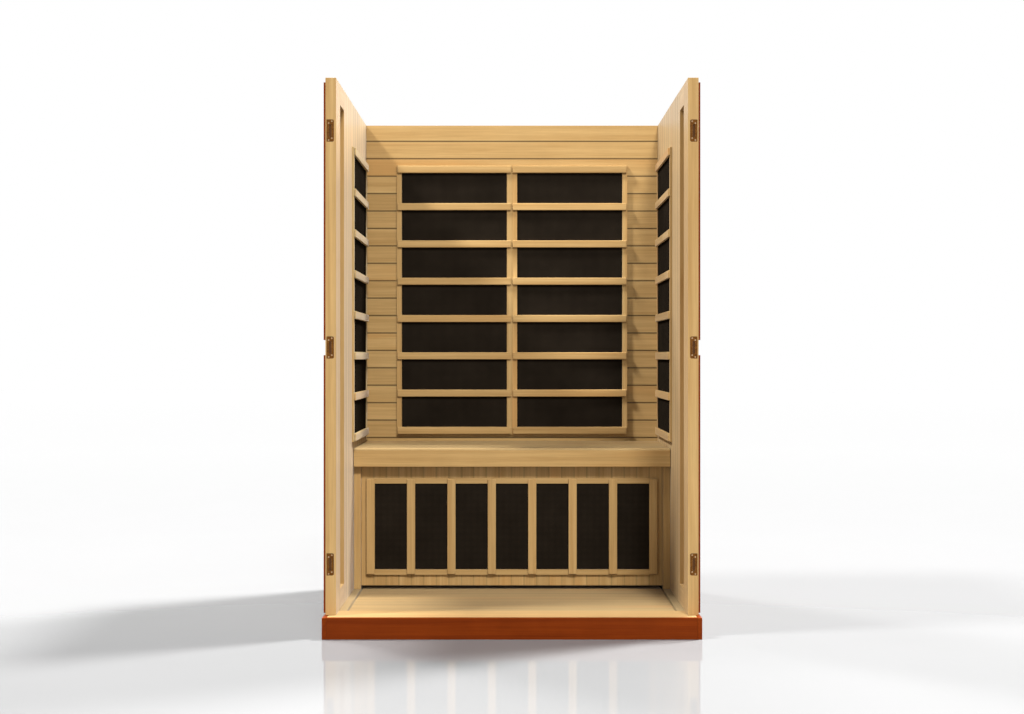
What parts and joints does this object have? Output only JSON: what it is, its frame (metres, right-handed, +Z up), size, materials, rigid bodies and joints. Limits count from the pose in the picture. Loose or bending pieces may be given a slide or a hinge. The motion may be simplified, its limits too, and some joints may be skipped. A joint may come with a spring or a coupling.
{
  "type": "infrared sauna cabin",
  "caption": "Open-fronted wooden infrared sauna cabin with a stained plinth, boarded floor and walls, guarded dark heaters and a loose bench seat that slides out.",
  "frame": {"origin": "on the ground under the middle of the base", "axes": "+Z up, +X to the right seen from the open front, +Y towards the back wall, so the open front faces -Y"},
  "size_m": [1.2, 1, 1.781],
  "materials": {
    "hemlock": "clear satin softwood, fine straight grain",
    "red_stain": "red-brown stain, satin lacquer",
    "heater_mesh": "dark fine mesh over a carbon panel",
    "bronze": "dark antique bronze"
  },
  "bodies": {
    "shell": {"base_front_board": "red_stain", "base_left_board": "red_stain", "base_right_board": "red_stain", "base_rear_beam": "red_stain", "sill_front": "hemlock", "sill_left": "hemlock", "sill_right": "hemlock", "floor_panel": "hemlock", "floor_bearer": "hemlock", "left_wall_front_stile": "hemlock", "left_wall_rear_stile": "hemlock", "left_wall_top_rail": "hemlock", "left_wall_mid_rail": "hemlock", "left_wall_bottom_rail": "hemlock", "left_wall_lining": "hemlock", "left_wall_recess_panel": "hemlock", "left_wall_upper_skin": "red_stain", "left_wall_lower_skin": "red_stain", "right_wall_front_stile": "hemlock", "right_wall_rear_stile": "hemlock", "right_wall_top_rail": "hemlock", "right_wall_mid_rail": "hemlock", "right_wall_bottom_rail": "hemlock", "right_wall_lining": "hemlock", "right_wall_recess_panel": "hemlock", "right_wall_upper_skin": "red_stain", "right_wall_lower_skin": "red_stain", "back_wall_left_stile": "hemlock", "back_wall_right_stile": "hemlock", "back_wall_top_rail": "hemlock", "back_wall_mid_rail": "hemlock", "back_wall_bottom_rail": "hemlock", "back_wall_lining": "hemlock", "back_wall_upper_skin": "red_stain", "back_wall_lower_skin": "red_stain", "clasp_left_top": "bronze", "clasp_left_middle": "bronze", "clasp_left_bottom": "bronze", "clasp_right_top": "bronze", "clasp_right_middle": "bronze", "clasp_right_bottom": "bronze", "back_left_heater": "heater_mesh", "back_left_heater_guard": "hemlock", "back_right_heater": "heater_mesh", "back_right_heater_guard": "hemlock", "left_heater": "heater_mesh", "left_heater_guard": "hemlock", "right_heater": "heater_mesh", "right_heater_guard": "hemlock", "leg_heater": "heater_mesh", "leg_heater_guard": "hemlock", "bench_left_support": "hemlock", "bench_right_support": "hemlock", "bench_kick_panel": "hemlock"},
    "bench_seat": {"bench_fascia": "hemlock", "bench_board_front": "hemlock", "bench_board_middle": "hemlock", "bench_board_rear": "hemlock", "bench_batten_left": "hemlock", "bench_batten_right": "hemlock"}
  },
  "joints": [
    {"name": "bench_seat_slide", "type": "slide", "parent": "shell", "child": "bench_seat", "axis": [0, -1, 0], "range_m": [0, 0.93]}
  ]
}
